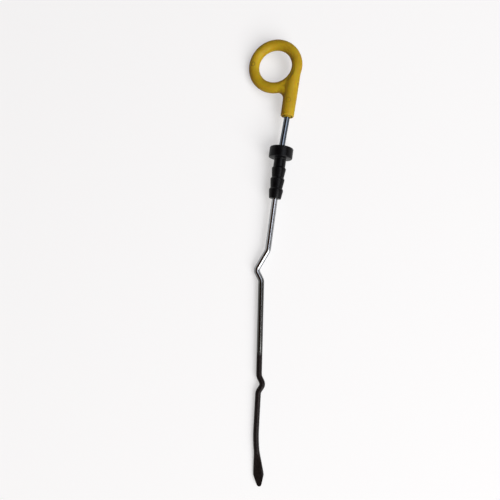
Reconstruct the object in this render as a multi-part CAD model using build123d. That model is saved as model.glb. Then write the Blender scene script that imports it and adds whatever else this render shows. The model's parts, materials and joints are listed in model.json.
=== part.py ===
from build123d import *
import math
import os

# An engine oil dipstick, lying on a table as it comes to rest: a yellow loop handle moulded over
# the top of a steel gauge rod, and a rubber stopper that plugs the mouth of the guide tube.
# It is drawn flat in the stick's own plane first: +Y runs from tip to handle, +X to the right,
# with the origin where the stopper's axis meets the underside of its flange.
# Lengths are millimetres, and a lean is degrees to the right of +Y going up.

# Gauge rod, bright drawn wire bent cold
ROD_DIAMETER = 5.0
ROD_END_CHAMFER = 0.6
PLUG_LEAN = 8.15
NECK_BEND_HEIGHT = 13.2
NECK_LEAN = 10.6
NECK_RUN = 22.4
NECK_BEND_RADIUS = 40.0
STEM_LEAN = 9.0
STEM_BEND_RADIUS = 40.0

# Anchored end of the rod, with two pressed flats that key it to the handle
ANCHOR_LENGTH = 30.0
KEY_FLAT_LENGTH = 8.0
KEY_FLAT_DEPTH = 0.7
KEY_FLAT_FROM_END = 6.0

# Upper kink, pushed out to the left to bear on the wall of the guide tube
PLUG_RUN = 81.8
UPPER_KINK_FIRST_LEG = 20.6
UPPER_KINK_FIRST_LEAN = 31.3
UPPER_KINK_SECOND_LEG = 9.9
UPPER_KINK_SECOND_LEAN = -27.8

# Lower kink, pushed out to the right
MIDDLE_RUN = 83.1
MIDDLE_LEAN = 1.65
LOWER_KINK_FIRST_LEG = 7.9
LOWER_KINK_FIRST_LEAN = -27.4
LOWER_KINK_SECOND_LEG = 7.9
LOWER_KINK_SECOND_LEAN = 34.2
KINK_SHOULDER_RADIUS = 7.0
KINK_CREST_RADIUS = 5.0

# End of the stick, with a slow bow from use
LOWER_RUN = 40.1
LOWER_LEAN = 3.4
BOW_RADIUS = 120.0
SPADE_SHANK = 1.3
TIP_LEAN = -4.6

# Spear-shaped spade forged on the tip
SPADE_LENGTH = 29.7
SPADE_WIDTH = 9.15
SPADE_OVAL = 3.0
SPADE_THICKNESS = 2.1
SPADE_PRESS_RUN = 12.4
SPADE_PRESS_LIFT = 0.25
SPADE_POINT = 10.9
SPADE_NOSE_RADIUS = 2.1
SPADE_TRIM = 0.4

# Level mark, a nick filed into the right-hand side of the rod
MARK_ABOVE_SPADE = 3.8
MARK_DEPTH = 0.6

# Rubber stopper
FLANGE_DIAMETER = 21.0
FLANGE_THICKNESS = 9.6
FLANGE_TOP_EDGE = 1.3
FLANGE_BOTTOM_EDGE = 0.8
NECK_DIAMETER = 10.6
NECK_LENGTH = 7.75
NECK_ROOT_FILLET = 0.8
BARB_DIAMETER = 12.5
BARB_COUNT = 3
BARB_PITCH = 9.45
BARB_SHOULDER = 1.4
BARB_LAND = 1.1
NOSE_ROUND = 1.0
BORE_CLEARANCE = 0.02

# Loop handle
RING_RADIUS = 19.55
RING_THICKNESS = 9.4
STEM_INSET = 0.6
STEM_LENGTH = 44.6
STEM_END_DIAMETER = 11.8
STEM_ROOT_DIAMETER = 12.5
STEM_END_EDGE = 1.0
STEM_END_GAP = 2.0
STEM_SHOULDER_DROP = 14.0
RUNOUT_LENGTH = 15.0
RUNOUT_SINK = 0.25
TRIM_INSET = 0.5
TRIM_SLOPE = 40.0
CROTCH_RADIUS = 5.4
CROTCH_SINK = 0.12

# Turns taken to find the table that the stick lies on
SETTLING_STEPS = 40

ROD_RADIUS = ROD_DIAMETER / 2
FLANGE_RADIUS = FLANGE_DIAMETER / 2
RING_TUBE = RING_THICKNESS / 2
STEM_OFFSET = RING_RADIUS + RING_TUBE - STEM_INSET - STEM_ROOT_DIAMETER / 2
STICK_NORMAL = Vector(0, 0, 1)
STICK_UP = Vector(0, 1, 0)


def along(lean, length):
    """A run in the stick's plane, of the given length up the stick at the given lean."""
    angle = math.radians(lean)
    return Vector(math.sin(angle), math.cos(angle)) * length


def square_to_rod(point, lean):
    """A plane square to the rod: its Z points up the stick, and its X to the right."""
    up = along(lean, 1)
    return Plane(origin=point, x_dir=up.cross(STICK_NORMAL), z_dir=up)


# Corners of the rod's centre line, worked out from the seat in both directions
seat = Vector(0, 0)
neck_bend = seat + along(PLUG_LEAN, NECK_BEND_HEIGHT)
stem_bend = neck_bend + along(NECK_LEAN, NECK_RUN)
stem_end = stem_bend + along(STEM_LEAN, STEM_END_GAP)
rod_top = stem_end + along(STEM_LEAN, ANCHOR_LENGTH)
upper_kink_start = seat - along(PLUG_LEAN, PLUG_RUN)
upper_kink_crest = upper_kink_start - along(UPPER_KINK_FIRST_LEAN, UPPER_KINK_FIRST_LEG)
upper_kink_end = upper_kink_crest - along(UPPER_KINK_SECOND_LEAN, UPPER_KINK_SECOND_LEG)
lower_kink_start = upper_kink_end - along(MIDDLE_LEAN, MIDDLE_RUN)
lower_kink_crest = lower_kink_start - along(LOWER_KINK_FIRST_LEAN, LOWER_KINK_FIRST_LEG)
lower_kink_end = lower_kink_crest - along(LOWER_KINK_SECOND_LEAN, LOWER_KINK_SECOND_LEG)
bow_corner = lower_kink_end - along(LOWER_LEAN, LOWER_RUN)
bow_tangent = BOW_RADIUS * math.tan(math.radians(LOWER_LEAN - TIP_LEAN) / 2)
spade_root = bow_corner - along(TIP_LEAN, bow_tangent + SPADE_SHANK)


def make_gauge_rod():
    """The whole wire: swept along its bends, then spread, filed and keyed."""
    corners = [
        rod_top, stem_bend, neck_bend,
        upper_kink_start, upper_kink_crest, upper_kink_end,
        lower_kink_start, lower_kink_crest, lower_kink_end,
        bow_corner, spade_root,
    ]
    radii = [
        STEM_BEND_RADIUS, NECK_BEND_RADIUS,
        KINK_SHOULDER_RADIUS, KINK_CREST_RADIUS, KINK_SHOULDER_RADIUS,
        KINK_SHOULDER_RADIUS, KINK_CREST_RADIUS, KINK_SHOULDER_RADIUS,
        BOW_RADIUS,
    ]
    top = square_to_rod(rod_top, STEM_LEAN)
    wire = sweep(top * Circle(ROD_RADIUS), path=FilletPolyline(corners, radius=radii))
    wire = chamfer(wire.edges().sort_by(Axis.Y)[-1], ROD_END_CHAMFER)
    return wire + make_spade() - make_key_slots(top) - make_level_mark()


def make_key_slots(top):
    """A slot across each broad side of the anchored end, which the handle's plastic fills."""
    slot = Box(ROD_DIAMETER, 2 * KEY_FLAT_DEPTH, KEY_FLAT_LENGTH)
    middle = -KEY_FLAT_FROM_END - KEY_FLAT_LENGTH / 2
    return [top * Pos(0, side * ROD_RADIUS, middle) * slot for side in (-1, 1)]


def make_level_mark():
    """A square file turned on its corner, so that it leaves a V."""
    side = MARK_DEPTH * math.sqrt(2)
    mark = spade_root + along(TIP_LEAN, MARK_ABOVE_SPADE)
    file = Rot(0, 45, 0) * Box(side, 2 * ROD_DIAMETER, side)
    return square_to_rod(mark, TIP_LEAN) * Pos(ROD_RADIUS, 0, 0) * file


def make_spade():
    """The wire's end drawn out to an oval, pressed flat between dies and cropped to a point."""
    root = square_to_rod(spade_root, TIP_LEAN)
    spread = SPADE_LENGTH - SPADE_POINT
    half_way = Ellipse((ROD_DIAMETER + SPADE_WIDTH) / 4, (ROD_DIAMETER + SPADE_OVAL) / 4)
    oval = Ellipse(SPADE_WIDTH / 2, SPADE_OVAL / 2)
    drawn_out = loft([
        root * Circle(ROD_RADIUS),
        root * Pos(0, 0, -spread / 2) * half_way,
        root * Pos(0, 0, -spread) * oval,
        root * Pos(0, 0, -SPADE_LENGTH) * oval,
    ])

    # Space between the dies, seen from the side: curved lead-in, then parallel
    half = SPADE_THICKNESS / 2
    lead_in = TangentArc((-SPADE_PRESS_RUN, half), (0, ROD_RADIUS + SPADE_PRESS_LIFT), tangent=(1, 0))
    flat = Line((-SPADE_LENGTH, half), (-SPADE_PRESS_RUN, half))
    middle = Polyline((-SPADE_LENGTH, half), (-SPADE_LENGTH, 0), (0, 0), (0, ROD_RADIUS + SPADE_PRESS_LIFT))
    upper_half = make_face([flat, lead_in, middle])
    between_dies = upper_half + mirror(upper_half, about=Plane.XZ)
    side_view = Plane(origin=root.origin, x_dir=root.z_dir, z_dir=root.x_dir)
    pressed = extrude(side_view * between_dies, SPADE_WIDTH, both=True)

    # Cropping die, seen from the front: straight sides, then two cuts that meet in a round nose
    sides = Pos(0, -spread / 2) * Rectangle(SPADE_WIDTH + 2 * SPADE_TRIM, spread)
    nose = Pos(0, SPADE_NOSE_RADIUS - SPADE_LENGTH) * Circle(SPADE_NOSE_RADIUS)
    outline = make_hull(sides.edges() + nose.edges())
    front_view = Plane(origin=root.origin, x_dir=root.x_dir, z_dir=STICK_NORMAL)
    cropped = extrude(front_view * outline, ROD_DIAMETER, both=True)
    return drawn_out & pressed & cropped


def make_tube_stopper():
    """One moulding, turned from half its section: flange, neck and barbs round the rod's bore."""
    bore = ROD_RADIUS + BORE_CLEARANCE
    neck = NECK_DIAMETER / 2
    crest = BARB_DIAMETER / 2
    section = [(bore, FLANGE_THICKNESS), (FLANGE_RADIUS, FLANGE_THICKNESS), (FLANGE_RADIUS, 0), (neck, 0)]
    for barb in range(BARB_COUNT):
        foot = -NECK_LENGTH - barb * BARB_PITCH
        section.append((neck, foot))
        section.append((crest, foot - BARB_SHOULDER))
        section.append((crest, foot - BARB_SHOULDER - BARB_LAND))
    nose = -NECK_LENGTH - BARB_COUNT * BARB_PITCH
    section.append((neck, nose))
    section.append((bore, nose))
    half = make_face(Polyline(section, close=True))
    rounds = [
        (FLANGE_RADIUS, FLANGE_THICKNESS, FLANGE_TOP_EDGE),
        (FLANGE_RADIUS, 0, FLANGE_BOTTOM_EDGE),
        (neck, 0, NECK_ROOT_FILLET),
        (neck, nose, NOSE_ROUND),
    ]
    for across, height, radius in rounds:
        half = fillet(half.vertices().sort_by_distance((across, height))[0], radius)
    return Pos(seat) * Rot(0, 0, -PLUG_LEAN) * revolve(half, Axis.Y)


# The handle is drawn about the ring's centre, with its stem straight down, then set on the rod
handle_place = Pos(stem_end) * Rot(0, 0, -STEM_LEAN) * Pos(-STEM_OFFSET, STEM_LENGTH, 0)


def across_stem(x, y):
    """A plane square to the stem, in the handle's own frame."""
    return Plane(origin=(x, y, 0), x_dir=(1, 0, 0), z_dir=STICK_UP)


def make_loop_handle(rod):
    """Ring, stem and the bent branch between them, moulded in one round the rod."""
    ring = Torus(RING_RADIUS, RING_TUBE)

    # Stem, slightly tapered to its end, which runs out along the ring's right-hand side
    root = STEM_ROOT_DIAMETER / 2
    end = STEM_END_DIAMETER / 2
    straight = STEM_LENGTH - STEM_SHOULDER_DROP
    lower = Cone(end, root, straight, align=(Align.CENTER, Align.CENTER, Align.MIN))
    lower = across_stem(STEM_OFFSET, -STEM_LENGTH) * lower
    lower = fillet(lower.edges().sort_by(Axis.Y)[0], STEM_END_EDGE)
    thin = RING_TUBE - RUNOUT_SINK
    runout = loft([
        across_stem(STEM_OFFSET, -STEM_SHOULDER_DROP) * Circle(root),
        across_stem(STEM_OFFSET + root - thin, RUNOUT_LENGTH - STEM_SHOULDER_DROP) * Circle(thin),
    ], ruled=True)
    stem = lower + runout - make_stem_trim()

    # Branch that rounds the crotch, a bend of tube sunk just under the skin of ring and stem
    tube = RING_TUBE - CROTCH_SINK
    bend = CROTCH_RADIUS + RING_TUBE
    centre_x = STEM_OFFSET - root - CROTCH_RADIUS
    centre_y = -math.sqrt((RING_RADIUS + bend) ** 2 - centre_x ** 2)
    start = Plane(origin=(centre_x + bend, centre_y, 0), x_dir=(1, 0, 0), z_dir=STICK_UP)
    sweep_angle = math.degrees(math.atan2(-centre_y, -centre_x))
    branch = revolve(start * Circle(tube), Axis((centre_x, centre_y, 0), (0, 0, 1)), sweep_angle)

    return handle_place * (ring + stem + branch) - rod


def make_stem_trim():
    """Two cones, back to back, that end the stem in a low wall sloping up from the ring's crown."""
    slope = math.tan(math.radians(TRIM_SLOPE))
    waist = RING_RADIUS - TRIM_INSET - RING_TUBE * slope
    height = STEM_ROOT_DIAMETER
    upper = Cone(waist, waist + height * slope, height, align=(Align.CENTER, Align.CENTER, Align.MIN))
    return upper + mirror(upper, about=Plane.XY)


def lowest_point(rim, up):
    """The lowest point of a round rim, given as its centre, axis, radius and edge radius."""
    centre, axis, radius, edge = rim
    outward = axis * axis.dot(up) - up
    return centre + outward.normalized() * radius - up * edge


def resting_plane():
    """The table under the stick, which lies on its left side on flange, ring and bow."""
    edge = FLANGE_BOTTOM_EDGE
    plug_up = along(PLUG_LEAN, 1)
    bow_lean = (LOWER_LEAN + TIP_LEAN) / 2
    bow_inside = along(bow_lean, 1).cross(STICK_NORMAL)
    bow_reach = BOW_RADIUS / math.cos(math.radians(LOWER_LEAN - TIP_LEAN) / 2)
    rims = [
        (seat + plug_up * edge, plug_up, FLANGE_RADIUS - edge, edge),
        (handle_place.position, STICK_NORMAL, RING_RADIUS, RING_TUBE),
        (bow_corner + bow_inside * bow_reach, STICK_NORMAL, BOW_RADIUS, ROD_RADIUS),
    ]
    up = Vector(FLANGE_RADIUS, 0, RING_RADIUS + STEM_OFFSET).normalized()
    for _ in range(SETTLING_STEPS):
        flange, ring, bow = [lowest_point(rim, up) for rim in rims]
        up = (bow - flange).cross(ring - flange).normalized()
        up = up * math.copysign(1, up.Z)
    return Plane(origin=flange, x_dir=STICK_UP.cross(up), z_dir=up)


gauge_rod = make_gauge_rod()
pieces = {
    "gauge_rod": gauge_rod,
    "tube_stopper": make_tube_stopper(),
    "loop_handle": make_loop_handle(gauge_rod),
}

# Laid on the table, with the origin under the middle of the whole stick
table = resting_plane()
laid = {name: piece.moved(table.location.inverse()) for name, piece in pieces.items()}
middle = Compound(list(laid.values())).bounding_box().center()
footprint = Location((-middle.X, -middle.Y, 0))

os.makedirs("parts", exist_ok=True)
for name, piece in laid.items():
    export_step(piece.moved(footprint), f"parts/{name}.step")
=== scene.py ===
import json
import math

import bmesh
import bpy
import numpy as np
from mathutils import Euler, Matrix, Vector


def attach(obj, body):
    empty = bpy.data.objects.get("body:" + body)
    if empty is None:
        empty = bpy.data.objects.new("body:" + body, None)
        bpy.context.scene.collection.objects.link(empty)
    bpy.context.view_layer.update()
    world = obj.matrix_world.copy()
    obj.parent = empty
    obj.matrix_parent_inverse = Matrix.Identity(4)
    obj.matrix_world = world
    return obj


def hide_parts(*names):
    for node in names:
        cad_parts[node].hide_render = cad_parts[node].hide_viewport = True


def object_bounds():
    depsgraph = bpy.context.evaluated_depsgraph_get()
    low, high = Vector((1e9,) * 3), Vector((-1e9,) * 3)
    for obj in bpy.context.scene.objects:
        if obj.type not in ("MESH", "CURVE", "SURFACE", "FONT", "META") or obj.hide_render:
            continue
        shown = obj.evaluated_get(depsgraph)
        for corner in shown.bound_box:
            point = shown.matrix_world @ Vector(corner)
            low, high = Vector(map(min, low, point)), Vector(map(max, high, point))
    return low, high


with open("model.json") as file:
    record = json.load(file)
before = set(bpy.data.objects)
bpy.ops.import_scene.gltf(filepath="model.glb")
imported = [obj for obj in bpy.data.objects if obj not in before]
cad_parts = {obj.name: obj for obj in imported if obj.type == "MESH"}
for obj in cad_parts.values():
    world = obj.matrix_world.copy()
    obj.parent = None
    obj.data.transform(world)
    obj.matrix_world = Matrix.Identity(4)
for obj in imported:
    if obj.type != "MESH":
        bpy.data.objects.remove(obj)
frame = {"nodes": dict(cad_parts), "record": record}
cad_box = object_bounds()

# Gauge rod: one length of 5 mm drawn steel wire, zinc plated, bent cold and forged to a spade at its end.
# The solid's own shape is right, so it stays. Above the stopper the plating is painted darker and bluer than
# below it, as a painted reflection of the dim bluish streak there; it is grey under a film of old oil past
# the upper kink, and varnished brown-black where it hung in hot oil.
MM = 0.001
DIMMED_EDGE = 70 * MM
DIMMED_FADE = 25 * MM
FILM_EDGE = -4 * MM
FILM_FADE = 15 * MM
STAIN_EDGE = -85.5 * MM
STAIN_RAGGED = 9 * MM
STAIN_FADE = 5 * MM
BRIGHT_STEEL = "#A4A7AA"
DIMMED_REFLECTION_STEEL = "#626A73"
STEEL_EDGE = "#505458"
FILMED_STEEL = "#5E5F5E"
OIL_VARNISH = "#272120"
THICK_VARNISH = "#1A1615"
VARNISH_SPAN = {"From_Min": 0.35, "From_Max": 0.65}
VARNISH_METALLIC = 0.15
STEEL_ROUGHNESS = {"To_Min": 0.12, "To_Max": 0.24}
VARNISH_ROUGHNESS = {"To_Min": 0.24, "To_Max": 0.42}
# The die's lines are some hundredths of a millimetre wide, and are drawn coarser so that they show
LINE_WIDTH = 0.35 * MM
LINE_LENGTH = 22 * MM
LINE_DETAIL = 3.0
BLOTCHES = {"Scale": 1 / (7 * MM), "Detail": 4.0}
SPECKS = {"Scale": 1 / (1.6 * MM), "Detail": 3.0}
SPECK_RISE = 0.6
STEEL_RELIEF = {"Strength": 0.35, "Distance": 0.04 * MM}


def linear(hex_colour):
    """An sRGB hex colour as the linear values that a shader takes."""
    channels = [int(hex_colour[start:start + 2], 16) / 255 for start in (1, 3, 5)]
    return [c / 12.92 if c <= 0.04045 else ((c + 0.055) / 1.055) ** 2.4 for c in channels] + [1.0]


def add_node(tree, kind, settings=None, **inputs):
    """A node with its settings, and with each input, by name or by _number, set to a value or linked."""
    node = tree.nodes.new(kind)
    for name, value in (settings or {}).items():
        setattr(node, name, value)
    for name, value in inputs.items():
        socket = node.inputs[int(name[1:])] if name[1:].isdigit() else node.inputs[name.replace("_", " ")]
        if isinstance(value, bpy.types.NodeSocket):
            tree.links.new(value, socket)
        else:
            socket.default_value = value
    return node


# Zinc-plated drawn steel under oil varnish: a narrow bright streak beside dark ones, broken by fine lines
# along the wire; below the edge of the stain the metal is hidden under a glossy brown-black film
steel = bpy.data.materials.new("zinc_plated_drawn_steel_oil_varnished")
steel.use_nodes = True
tree = steel.node_tree
skin = tree.nodes["Principled BSDF"]
place = add_node(tree, "ShaderNodeTexCoord").outputs["Object"]
up_stick = add_node(tree, "ShaderNodeSeparateXYZ", Vector=place).outputs["Y"]
drawn = add_node(tree, "ShaderNodeMapping", Vector=place,
                 Scale=(1 / LINE_WIDTH, 1 / LINE_LENGTH, 1 / LINE_WIDTH)).outputs[0]
lines = add_node(tree, "ShaderNodeTexNoise", Vector=drawn, Scale=1.0, Detail=LINE_DETAIL).outputs["Fac"]
blotch = add_node(tree, "ShaderNodeTexNoise", Vector=place, **BLOTCHES).outputs["Fac"]
speck = add_node(tree, "ShaderNodeTexNoise", Vector=place, **SPECKS).outputs["Fac"]
ragged = add_node(tree, "ShaderNodeMath", {"operation": "MULTIPLY_ADD"}, _0=blotch, _1=STAIN_RAGGED,
                  _2=up_stick).outputs[0]
# Painted reflection: above the stopper the steel is painted darker and bluer, standing in for the dim bluish
# reflection it shows there
dimmed = add_node(tree, "ShaderNodeMapRange", Value=ragged, From_Min=DIMMED_EDGE,
                From_Max=DIMMED_EDGE + DIMMED_FADE).outputs[0]
reflection_dimmed = add_node(tree, "ShaderNodeMix", {"data_type": "RGBA"}, _0=dimmed, _6=linear(BRIGHT_STEEL),
                _7=linear(DIMMED_REFLECTION_STEEL)).outputs[2]
filmed = add_node(tree, "ShaderNodeMapRange", Value=ragged, From_Min=FILM_EDGE,
                  From_Max=FILM_EDGE - FILM_FADE).outputs[0]
metal = add_node(tree, "ShaderNodeMix", {"data_type": "RGBA"}, _0=filmed, _6=reflection_dimmed,
                 _7=linear(FILMED_STEEL)).outputs[2]
thick = add_node(tree, "ShaderNodeMapRange", Value=speck, **VARNISH_SPAN).outputs[0]
varnish = add_node(tree, "ShaderNodeMix", {"data_type": "RGBA"}, _0=thick, _6=linear(OIL_VARNISH),
                   _7=linear(THICK_VARNISH)).outputs[2]
stain = add_node(tree, "ShaderNodeMapRange", {"interpolation_type": "SMOOTHSTEP"}, Value=ragged,
                 From_Min=STAIN_EDGE + STAIN_RAGGED / 2 + STAIN_FADE,
                 From_Max=STAIN_EDGE + STAIN_RAGGED / 2).outputs[0]
colour = add_node(tree, "ShaderNodeMix", {"data_type": "RGBA"}, _0=stain, _6=metal, _7=varnish).outputs[2]
bare = add_node(tree, "ShaderNodeMapRange", Value=stain, To_Min=1.0, To_Max=VARNISH_METALLIC).outputs[0]
metal_rough = add_node(tree, "ShaderNodeMapRange", Value=lines, **STEEL_ROUGHNESS).outputs[0]
varnish_rough = add_node(tree, "ShaderNodeMapRange", Value=speck, **VARNISH_ROUGHNESS).outputs[0]
rough = add_node(tree, "ShaderNodeMix", _0=stain, _2=metal_rough, _3=varnish_rough).outputs[0]
height = add_node(tree, "ShaderNodeMath", {"operation": "MULTIPLY_ADD"}, _0=speck, _1=SPECK_RISE,
                  _2=lines).outputs[0]
relief = add_node(tree, "ShaderNodeBump", Height=height, **STEEL_RELIEF).outputs[0]
tree.links.new(colour, skin.inputs["Base Color"])
tree.links.new(bare, skin.inputs["Metallic"])
skin.inputs["Specular Tint"].default_value = linear(STEEL_EDGE)
tree.links.new(rough, skin.inputs["Roughness"])
tree.links.new(relief, skin.inputs["Normal"])

rod = frame["nodes"]["gauge_rod"]
rod.data.materials.clear()
rod.data.materials.append(steel)

# Tube stopper: one moulding in black nitrile rubber, pushed on to the rod. A thick flange covers the mouth
# of the guide tube, and three barbs down the neck below it, each a short cone, grip inside the tube.
# It is turned from half its section, with every edge rounded as a mould leaves it.
NECK_RUN = 7.75 * MM
BARB_SHOULDER = 1.4 * MM
BARB_LAND = 1.1 * MM
BARB_PITCH = 9.45 * MM
BARB_COUNT = 3
STOPPER_SIZES = {
    "Bore": 2.52 * MM,
    "Flange": 10.5 * MM,
    "Neck": 5.3 * MM,
    "Crest": 6.25 * MM,
    "Top": -9.6 * MM,
    "Seat": 0.0,
    "Barb": NECK_RUN,
    "Barb Crest": NECK_RUN + BARB_SHOULDER,
    "Barb Land": NECK_RUN + BARB_SHOULDER + BARB_LAND,
    "Barb Pitch": BARB_PITCH,
    "Nose": NECK_RUN + BARB_COUNT * BARB_PITCH,
    "Top Edge": 1.3 * MM,
    "Low Edge": 0.8 * MM,
    "Fine Edge": 0.3 * MM,
}
STOPPER_COUNTS = {"Barbs": BARB_COUNT, "Sides": 120, "Edge Steps": 5}
RUBBER_BLACK = "#070709"
RUBBER_BLOOM = "#101013"
BLOOM_PATCHES = {"Scale": 1 / (5 * MM), "Detail": 5.0}
BLOOM_SPAN = {"From_Min": 0.48, "From_Max": 0.75}
RUBBER_ROUGHNESS = {"To_Min": 0.26, "To_Max": 0.4}
RUBBER_SPECULAR = 0.12
# The mould's grit is finer than a tenth of a millimetre, and is drawn coarser so that it shows
MOULD_GRIT = {"Scale": 1 / (0.5 * MM), "Detail": 2.0}
RUBBER_RELIEF = {"Strength": 0.25, "Distance": 0.05 * MM}

# Nitrile rubber, moulded: soot black with a soft sheen, greyed by a faint bloom in patches
rubber = bpy.data.materials.new("nitrile_rubber_moulded_black")
rubber.use_nodes = True
tree = rubber.node_tree
skin = tree.nodes["Principled BSDF"]
place = add_node(tree, "ShaderNodeTexCoord").outputs["Object"]
patch = add_node(tree, "ShaderNodeTexNoise", Vector=place, **BLOOM_PATCHES).outputs["Fac"]
grit = add_node(tree, "ShaderNodeTexNoise", Vector=place, **MOULD_GRIT).outputs["Fac"]
bloom = add_node(tree, "ShaderNodeMapRange", Value=patch, **BLOOM_SPAN).outputs[0]
black = add_node(tree, "ShaderNodeMix", {"data_type": "RGBA"}, _0=bloom, _6=linear(RUBBER_BLACK),
                 _7=linear(RUBBER_BLOOM)).outputs[2]
sheen = add_node(tree, "ShaderNodeMapRange", Value=patch, **RUBBER_ROUGHNESS).outputs[0]
relief = add_node(tree, "ShaderNodeBump", Height=grit, **RUBBER_RELIEF).outputs[0]
tree.links.new(black, skin.inputs["Base Color"])
skin.inputs["Specular IOR Level"].default_value = RUBBER_SPECULAR
tree.links.new(sheen, skin.inputs["Roughness"])
tree.links.new(relief, skin.inputs["Normal"])

# Corners of the half section in order round it, each with its radius, its way below the seat, its edge and
# its turn in that order. The three of a barb come again at each pitch down the neck
BARB_CORNERS = 3
SECTION_CORNERS = [
    ("Bore", "Top", "Fine Edge", 0),
    ("Flange", "Top", "Top Edge", 1),
    ("Flange", "Seat", "Low Edge", 2),
    ("Neck", "Seat", "Low Edge", 3),
    ("Neck", "Barb", "Fine Edge", 4),
    ("Crest", "Barb Crest", "Fine Edge", 5),
    ("Crest", "Barb Land", "Fine Edge", 6),
    ("Neck", "Nose", "Low Edge", 4 + BARB_CORNERS * BARB_COUNT),
    ("Bore", "Nose", "Fine Edge", 5 + BARB_CORNERS * BARB_COUNT),
]
turning = bpy.data.node_groups.new("turned_stopper", "GeometryNodeTree")
for name in STOPPER_SIZES:
    turning.interface.new_socket(name, in_out="INPUT", socket_type="NodeSocketFloat")
for name in STOPPER_COUNTS:
    turning.interface.new_socket(name, in_out="INPUT", socket_type="NodeSocketInt")
turning.interface.new_socket("Rubber", in_out="INPUT", socket_type="NodeSocketMaterial")
turning.interface.new_socket("Stopper", in_out="OUTPUT", socket_type="NodeSocketGeometry")
size = add_node(turning, "NodeGroupInput").outputs
number = add_node(turning, "GeometryNodeInputIndex").outputs[0]
half_section = add_node(turning, "GeometryNodeJoinGeometry")
for radius, below, edge, turn in SECTION_CORNERS:
    down = add_node(turning, "ShaderNodeMath", {"operation": "MULTIPLY_ADD"}, _0=number,
                    _1=size["Barb Pitch"], _2=size[below]).outputs[0]
    order = add_node(turning, "ShaderNodeMath", {"operation": "MULTIPLY_ADD"}, _0=number,
                     _1=float(BARB_CORNERS), _2=float(turn)).outputs[0]
    corner = add_node(turning, "ShaderNodeCombineXYZ", X=size[radius], Y=down).outputs[0]
    points = add_node(turning, "GeometryNodePoints", Position=corner,
                      Count=size["Barbs"] if below.startswith("Barb") else 1).outputs[0]
    ordered = add_node(turning, "GeometryNodeStoreNamedAttribute", {"data_type": "FLOAT"},
                       Geometry=points, Name="order", Value=order).outputs[0]
    edged = add_node(turning, "GeometryNodeStoreNamedAttribute", {"data_type": "FLOAT"},
                     Geometry=ordered, Name="edge", Value=size[edge]).outputs[0]
    turning.links.new(edged, half_section.inputs[0])
order = add_node(turning, "GeometryNodeInputNamedAttribute", {"data_type": "FLOAT"}, Name="order").outputs[0]
edge = add_node(turning, "GeometryNodeInputNamedAttribute", {"data_type": "FLOAT"}, Name="edge").outputs[0]
outline = add_node(turning, "GeometryNodePointsToCurves", Points=half_section.outputs[0],
                   Weight=order).outputs[0]
closed = add_node(turning, "GeometryNodeSetSplineCyclic", Geometry=outline, Cyclic=True).outputs[0]
eased = add_node(turning, "GeometryNodeFilletCurve", {"mode": "POLY"}, Curve=closed,
                 Count=size["Edge Steps"], Radius=edge, Limit_Radius=True).outputs[0]
to_bore = add_node(turning, "ShaderNodeMath", {"operation": "MULTIPLY"}, _0=size["Bore"], _1=-1.0).outputs[0]
inwards = add_node(turning, "ShaderNodeCombineXYZ", X=to_bore).outputs[0]
profile = add_node(turning, "GeometryNodeTransform", Geometry=eased, Translation=inwards).outputs[0]
path = add_node(turning, "GeometryNodeCurvePrimitiveCircle", Resolution=size["Sides"],
                Radius=size["Bore"]).outputs[0]
turned = add_node(turning, "GeometryNodeCurveToMesh", Curve=path, Profile_Curve=profile).outputs[0]
real = add_node(turning, "GeometryNodeRealizeInstances", Geometry=turned).outputs[0]
dressed = add_node(turning, "GeometryNodeSetMaterial", Geometry=real, Material=size["Rubber"]).outputs[0]
add_node(turning, "NodeGroupOutput", Stopper=dressed)

blank = bpy.data.objects.new("stopper_blank", bpy.data.meshes.new("stopper_blank"))
bpy.context.collection.objects.link(blank)
lathe = blank.modifiers.new("turning", "NODES")
lathe.node_group = turning
stopper_inputs = {**STOPPER_SIZES, **STOPPER_COUNTS, "Rubber": rubber}
for item in turning.interface.items_tree:
    if item.in_out == "INPUT":
        lathe[item.identifier] = stopper_inputs[item.name]
evaluated = blank.evaluated_get(bpy.context.evaluated_depsgraph_get())
stopper_mesh = bpy.data.meshes.new_from_object(evaluated)
bpy.data.objects.remove(blank)
seat = next(mount for mount in frame["record"]["mounts"] if mount["name"] == "tube_seat")
on_rod = Vector(seat["axis"]).to_track_quat("-Z", "Y").to_matrix().to_4x4()
stopper_mesh.transform(Matrix.Translation(seat["pos_m"]) @ on_rod)
shell = bmesh.new()
shell.from_mesh(stopper_mesh)
bmesh.ops.recalc_face_normals(shell, faces=shell.faces)
shell.to_mesh(stopper_mesh)
shell.free()
stopper_mesh.shade_smooth()
stopper = bpy.data.objects.new("barbed_stopper", stopper_mesh)
bpy.context.collection.objects.link(stopper)
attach(stopper, "root")
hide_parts("tube_stopper")

# Loop handle: yellow glass-filled nylon, injection moulded over the rod's top end. A ring for one finger
# runs into a stem on its right, whose flank stands proud of the ring and ends in a low sloping wall.
# The solid's skin is meshed evenly again, so that the corners can soften as they do in a mould.
SKIN_GRAIN = 0.32 * MM
MERGE_GAP = 0.001 * MM
RING_CENTRE = Vector((0, 171.398 * MM, 9.993 * MM))
HANDLE_TURN = Euler([math.radians(angle) for angle in (2.935, -15.439, -9.454)])
STEM_OFFSET = 17.4 * MM
STEM_LENGTH = 44.6 * MM
SKIN_PASSES = 6
SMOOTH_STEP = 0.5
RESTORE_STEP = -0.52
HOLLOW_LEAST = 0.003 * MM
HOLLOW_FULL = 0.012 * MM
HOLLOW_SPREAD = 8
CREASE_PASSES = 140
CREASE_STEP = 0.5
CREASE_SHADE = 0.62
CREASE_SHADE_FROM = 4.5 * MM
CREASE_SHADE_FULL = 9.5 * MM
# How far from the rod's axis the skin of its bore ends, and the stem's outer skin is reached
BORE_SKIN = 3.2 * MM
OUTER_SKIN = 4.0 * MM
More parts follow.
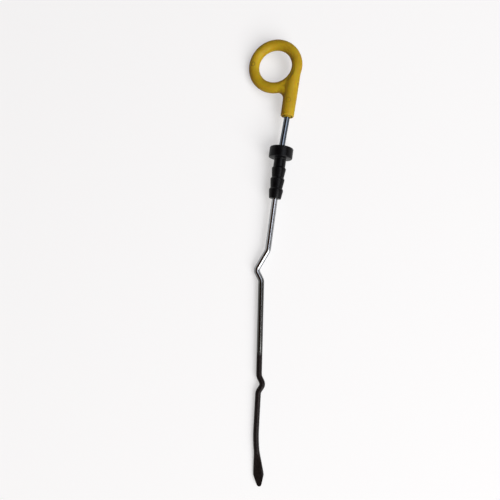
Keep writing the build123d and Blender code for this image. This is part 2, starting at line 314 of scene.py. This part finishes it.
# Each pin's place across and along the handle from the ring's centre, its radius and how dark its sunk ring
# is painted, as painted shade
PIN_MARKS = [(17.35 * MM, -31.5 * MM, 2.05 * MM, 0.55), (-19.8 * MM, -0.5 * MM, 1.75 * MM, 1.0)]
PIN_DEPTH = 0.2 * MM
PIN_EDGE = 0.6 * MM
SEAM_HEIGHT = 0.1 * MM
SEAM_WIDTH = 0.35 * MM
# How far from the stem's end the seam fades out, and is full
SEAM_STOPS = 1.2 * MM
SEAM_FULL = 2.2 * MM
NICK = Vector((23.3 * MM, -15.5 * MM, 2.0 * MM))
NICK_SIZE = 1.8 * MM
NICK_DEPTH = 0.6 * MM
COLLAR_RADIUS = 3.15 * MM
COLLAR_LENGTH = 0.7 * MM
GROOVE_RADIUS = 4.5 * MM
GROOVE_EDGE = 0.35 * MM
GROOVE_DEPTH = 0.9 * MM
GROOVE_REACH = 1.2 * MM

merged = bmesh.new()
merged.from_mesh(frame["nodes"]["loop_handle"].data)
bmesh.ops.remove_doubles(merged, verts=merged.verts, dist=MERGE_GAP)
cast = bpy.data.meshes.new("handle_cast")
merged.to_mesh(cast)
merged.free()
blank = bpy.data.objects.new("handle_blank", cast)
bpy.context.collection.objects.link(blank)
even = blank.modifiers.new("even_skin", "REMESH")
even.mode = "VOXEL"
even.voxel_size = SKIN_GRAIN
evaluated = blank.evaluated_get(bpy.context.evaluated_depsgraph_get())
handle_mesh = bpy.data.meshes.new_from_object(evaluated)
bpy.data.objects.remove(blank)

count = len(handle_mesh.vertices)
skin_points = np.empty(count * 3)
handle_mesh.vertices.foreach_get("co", skin_points)
skin_points = skin_points.reshape(count, 3)
pairs = np.empty(len(handle_mesh.edges) * 2, dtype=np.int64)
handle_mesh.edges.foreach_get("vertices", pairs)
pairs = pairs.reshape(-1, 2)
both_ways = np.concatenate([pairs, pairs[:, ::-1]])
here = both_ways[:, 0]
there = both_ways[:, 1]
neighbours = np.bincount(here, minlength=count)


def among_neighbours(values):
    """The mean of a value over each skin point's neighbours."""
    columns = values.reshape(count, -1).T
    sums = [np.bincount(here, weights=column[there], minlength=count) for column in columns]
    return (np.stack(sums, 1) / neighbours[:, None]).reshape(values.shape)


def outward(points):
    """The skin's normal at each point, once the mesh has taken the points."""
    handle_mesh.vertices.foreach_set("co", points.ravel())
    handle_mesh.update()
    normals = np.empty(count * 3)
    handle_mesh.vertex_normals.foreach_get("vector", normals)
    return normals.reshape(count, 3)


def ramp(values, low, high):
    """A smooth step from 0 at low to 1 at high."""
    share = np.clip((values - low) / (high - low), 0, 1)
    return share * share * (3 - 2 * share)


# Steps of the even mesh are smoothed out and back, which keeps the size. Then only the hollows fill, and
# those in the bore and close round it are left out
for _ in range(SKIN_PASSES):
    for step in (SMOOTH_STEP, RESTORE_STEP):
        skin_points = skin_points + step * (among_neighbours(skin_points) - skin_points)
hollow = np.einsum("ij,ij->i", among_neighbours(skin_points) - skin_points, outward(skin_points))
hollow = ramp(among_neighbours(among_neighbours(hollow)), HOLLOW_LEAST, HOLLOW_FULL)
for _ in range(HOLLOW_SPREAD):
    hollow = np.maximum(hollow, among_neighbours(hollow))
to_handle = np.array(HANDLE_TURN.to_matrix())
local = (skin_points - np.array(RING_CENTRE)) @ to_handle
from_bore = np.hypot(local[:, 0] - STEM_OFFSET, local[:, 2])
outer = ramp(from_bore, BORE_SKIN, OUTER_SKIN)
hollow = hollow * outer
for _ in range(CREASE_PASSES):
    pull = among_neighbours(skin_points) - skin_points
    skin_points = skin_points + CREASE_STEP * hollow[:, None] * pull

# Marks of the mould: two ejector pins and the seam round the middle, and from use a nick on the right
local = (skin_points - np.array(RING_CENTRE)) @ to_handle
normals = outward(skin_points)
lift = np.zeros(count)
# Painted shade: the hollow of the crease between stem and ring is painted dark, fading in from the ring's
# side towards the stem
painted_shade = CREASE_SHADE * hollow * ramp(local[:, 0], CREASE_SHADE_FROM, CREASE_SHADE_FULL)
for across, along, radius, pin_shade in PIN_MARKS:
    off_ring = np.abs(np.hypot(local[:, 0] - across, local[:, 1] - along) - radius)
    ring = ramp(-off_ring, -PIN_EDGE, 0) * (local[:, 2] > 0)
    lift -= PIN_DEPTH * ring
    # Painted shade in the pin's sunk ring
    painted_shade = np.maximum(painted_shade, pin_shade * ring)
seamed = outer * ramp(local[:, 1], -STEM_LENGTH + SEAM_STOPS, -STEM_LENGTH + SEAM_FULL)
lift += SEAM_HEIGHT * seamed * ramp(-np.abs(local[:, 2]), -SEAM_WIDTH, 0)
nick = ramp(-np.linalg.norm(local - np.array(NICK), axis=1), -NICK_SIZE, 0)
lift -= NICK_DEPTH * nick
# Painted shade in the nick
painted_shade = np.maximum(painted_shade, nick)
skin_points = skin_points + lift[:, None] * normals

# Groove round a thin collar in the stem's end, where the mould shut on the rod
at_end = ramp(-local[:, 1], STEM_LENGTH - GROOVE_REACH, STEM_LENGTH - GROOVE_REACH / 2)
past_collar = ramp(from_bore, COLLAR_RADIUS, COLLAR_RADIUS + GROOVE_EDGE)
in_groove = at_end * past_collar * ramp(-from_bore, -GROOVE_RADIUS - GROOVE_EDGE, -GROOVE_RADIUS)
up_stem = GROOVE_DEPTH * in_groove - COLLAR_LENGTH * at_end * (1 - past_collar)
skin_points = np.clip(skin_points + up_stem[:, None] * to_handle[:, 1], *cad_box)
# Painted shade in the groove round the collar
painted_shade = np.maximum(painted_shade, in_groove)
outward(skin_points)
shade_paint = handle_mesh.attributes.new("shade_paint", "FLOAT", "POINT")
shade_paint.data.foreach_set("value", painted_shade)

# Glass-filled nylon, moulded: mustard yellow with a satin skin, slightly mottled by handling, and darkened
# to brown by painted shade in the crease of stem and ring, round the pin marks, in the nick and in the stem's
# end
YELLOW = "#BA9C1C"
HANDLED_YELLOW = "#B0901A"
SHADE_BROWN = "#5A4214"
HANDLING_PATCHES = {"Scale": 1 / (9 * MM), "Detail": 4.0}
HANDLED_SPAN = {"From_Min": 0.4, "From_Max": 0.7}
# The glass fibres are about a hundredth of a millimetre thick, and their flecks are drawn coarser to show
FLECKS = {"Scale": 1 / (0.8 * MM), "Detail": 3.0}
SHADE_COVER = {"From_Min": 0.3, "From_Max": 0.7, "To_Min": 0.5, "To_Max": 0.85}
NYLON_ROUGHNESS = {"From_Min": 0.3, "From_Max": 0.7, "To_Min": 0.46, "To_Max": 0.6}
NYLON_SPECULAR = 0.2
NYLON_RELIEF = {"Strength": 0.3, "Distance": 0.05 * MM}
NYLON_DEPTH = 1.8 * MM
NYLON_DEPTH_BY_COLOUR = (1.0, 0.4, 0.1)
NYLON_TRANSLUCENCE = 0.4
nylon = bpy.data.materials.new("glass_filled_nylon_moulded_yellow")
nylon.use_nodes = True
tree = nylon.node_tree
skin = tree.nodes["Principled BSDF"]
place = add_node(tree, "ShaderNodeTexCoord").outputs["Object"]
mottle = add_node(tree, "ShaderNodeTexNoise", Vector=place, **HANDLING_PATCHES).outputs["Fac"]
fleck = add_node(tree, "ShaderNodeTexNoise", Vector=place, **FLECKS).outputs["Fac"]
handled = add_node(tree, "ShaderNodeMapRange", Value=mottle, **HANDLED_SPAN).outputs[0]
base = add_node(tree, "ShaderNodeMix", {"data_type": "RGBA"}, _0=handled, _6=linear(YELLOW),
                _7=linear(HANDLED_YELLOW)).outputs[2]
# Painted shade: the yellow is darkened to brown, in flecks, where the handle's painted shade attribute is set
shade_paint_place = add_node(tree, "ShaderNodeAttribute", {"attribute_name": "shade_paint"}).outputs["Fac"]
cover = add_node(tree, "ShaderNodeMapRange", Value=fleck, **SHADE_COVER).outputs[0]
shade_darkness = add_node(tree, "ShaderNodeMath", {"operation": "MULTIPLY"}, _0=shade_paint_place, _1=cover).outputs[0]
colour = add_node(tree, "ShaderNodeMix", {"data_type": "RGBA"}, _0=shade_darkness, _6=base,
                  _7=linear(SHADE_BROWN)).outputs[2]
satin = add_node(tree, "ShaderNodeMapRange", Value=mottle, **NYLON_ROUGHNESS).outputs[0]
relief = add_node(tree, "ShaderNodeBump", Height=fleck, **NYLON_RELIEF).outputs[0]
tree.links.new(colour, skin.inputs["Base Color"])
skin.inputs["Specular IOR Level"].default_value = NYLON_SPECULAR
tree.links.new(satin, skin.inputs["Roughness"])
skin.inputs["Subsurface Weight"].default_value = NYLON_TRANSLUCENCE
skin.inputs["Subsurface Radius"].default_value = NYLON_DEPTH_BY_COLOUR
skin.inputs["Subsurface Scale"].default_value = NYLON_DEPTH
tree.links.new(relief, skin.inputs["Normal"])

handle_mesh.materials.clear()
handle_mesh.materials.append(nylon)
handle_mesh.shade_smooth()
handle = bpy.data.objects.new("finger_loop", handle_mesh)
bpy.context.collection.objects.link(handle)
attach(handle, "root")
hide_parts("loop_handle")

# Floor: a sheet of matt white card, wide enough to fill every view. The eye sees it white, straight or by
# way of metal and glass, while the light that it throws back up on the stick is dimmer and warmer.
CARD_SIDE = 12.0
CARD_WHITE = "#B8B8B8"
CARD_GLOW = 0.5
CARD_BOUNCE = "#8F6A4A"
CARD_ROUGHNESS = 0.9


def seen_by_eye(tree):
    """1 on the eye's rays, straight or by way of metal and glass, and 0 on the light that falls on things."""
    ray = add_node(tree, "ShaderNodeLightPath").outputs
    mirrored = add_node(tree, "ShaderNodeMath", {"operation": "MAXIMUM"}, _0=ray["Is Glossy Ray"],
                        _1=ray["Is Transmission Ray"]).outputs[0]
    return add_node(tree, "ShaderNodeMath", {"operation": "MAXIMUM"}, _0=ray["Is Camera Ray"],
                    _1=mirrored).outputs[0]


# White card, matt: no gloss at all, and a soft white that still takes the stick's shadow
card = bpy.data.materials.new("white_card_matt")
card.use_nodes = True
tree = card.node_tree
skin = tree.nodes["Principled BSDF"]
seen = seen_by_eye(tree)
shade = add_node(tree, "ShaderNodeMix", {"data_type": "RGBA"}, _0=seen, _6=linear(CARD_BOUNCE),
                 _7=linear(CARD_WHITE)).outputs[2]
glow = add_node(tree, "ShaderNodeMath", {"operation": "MULTIPLY"}, _0=seen, _1=CARD_GLOW).outputs[0]
tree.links.new(shade, skin.inputs["Base Color"])
tree.links.new(glow, skin.inputs["Emission Strength"])
skin.inputs["Roughness"].default_value = CARD_ROUGHNESS
skin.inputs["Specular IOR Level"].default_value = 0.0

half = CARD_SIDE / 2
corners = [(-half, -half, 0), (half, -half, 0), (half, half, 0), (-half, half, 0)]
card_mesh = bpy.data.meshes.new("floor")
card_mesh.from_pydata(corners, [], [(0, 1, 2, 3)])
card_mesh.materials.append(card)
floor = bpy.data.objects.new("floor", card_mesh)
bpy.context.collection.objects.link(floor)

# Light: one wide soft box on the right towards the tip, a small pale window beyond the handle that draws
# the streak down the steel, and a dim warm room. A white backdrop stands low round the room, which only
# the eye sees, straight or by way of metal and glass, so that it throws no light on the stick.
SOFT_BOX_PLACE = Vector((1.7, -2.2, 2.5))
SOFT_BOX_SIDE = 3.0
SOFT_BOX_WATTS = 172.0
SOFT_BOX_COLOUR = "#FFFFFF"
WINDOW_PLACE = Vector((1.2, 0.6, 2.8))
WINDOW_SIDE = 1.6
WINDOW_WATTS = 24.0
WINDOW_COLOUR = "#EEF3FF"
ROOM_COLOUR = "#FFBC86"
ROOM_LIGHT = 0.072
BACKDROP_COLOUR = "#FFFFFF"
BACKDROP_WHITE = 0.9
BACKDROP_TOP = 0.27
BACKDROP_FADE = 0.42
LAMPS = [
    ("soft_box", SOFT_BOX_PLACE, SOFT_BOX_SIDE, SOFT_BOX_WATTS, SOFT_BOX_COLOUR),
    ("window", WINDOW_PLACE, WINDOW_SIDE, WINDOW_WATTS, WINDOW_COLOUR),
]
for name, lamp_place, side, watts, lamp_colour in LAMPS:
    lamp = bpy.data.lights.new(name, "AREA")
    lamp.size = side
    lamp.energy = watts
    lamp.color = linear(lamp_colour)[:3]
    stand = bpy.data.objects.new(name, lamp)
    stand.location = lamp_place
    stand.rotation_euler = (-lamp_place).to_track_quat("-Z", "Y").to_euler()
    bpy.context.collection.objects.link(stand)
room = bpy.data.worlds.new("room")
room.use_nodes = True
tree = room.node_tree
walls = tree.nodes["Background"]
way = add_node(tree, "ShaderNodeTexCoord").outputs["Generated"]
height = add_node(tree, "ShaderNodeSeparateXYZ", Vector=way).outputs["Z"]
low = add_node(tree, "ShaderNodeMapRange", {"interpolation_type": "SMOOTHSTEP"}, Value=height,
               From_Min=BACKDROP_FADE, From_Max=BACKDROP_TOP).outputs[0]
backdrop = add_node(tree, "ShaderNodeMath", {"operation": "MULTIPLY"}, _0=low,
                    _1=seen_by_eye(tree)).outputs[0]
colour = add_node(tree, "ShaderNodeMix", {"data_type": "RGBA"}, _0=backdrop, _6=linear(ROOM_COLOUR),
                  _7=linear(BACKDROP_COLOUR)).outputs[2]
strength = add_node(tree, "ShaderNodeMapRange", Value=backdrop, To_Min=ROOM_LIGHT,
                    To_Max=BACKDROP_WHITE).outputs[0]
tree.links.new(colour, walls.inputs["Color"])
tree.links.new(strength, walls.inputs["Strength"])
bpy.context.scene.world = room
bpy.context.scene.view_settings.view_transform = "Standard"

# Camera: held about 400 mm above the stick and tipped a few degrees, with the handle at the top of the
# picture. It sees from a few millimetres off, so that a view from close by cuts nothing away.
CAMERA_PLACE = Vector((-37.480, -19.682, 400.582)) * MM
CAMERA_TILT = (3.839, -2.073, -0.170)
CAMERA_LENS = 32.4
CAMERA_SENSOR = 36.0
NEAREST_SEEN = 5 * MM
eye = bpy.data.cameras.new("camera")
eye.sensor_width = CAMERA_SENSOR
eye.lens = CAMERA_LENS
eye.clip_start = NEAREST_SEEN
camera = bpy.data.objects.new("camera", eye)
camera.location = CAMERA_PLACE
camera.rotation_euler = [math.radians(angle) for angle in CAMERA_TILT]
bpy.context.collection.objects.link(camera)
bpy.context.scene.camera = camera
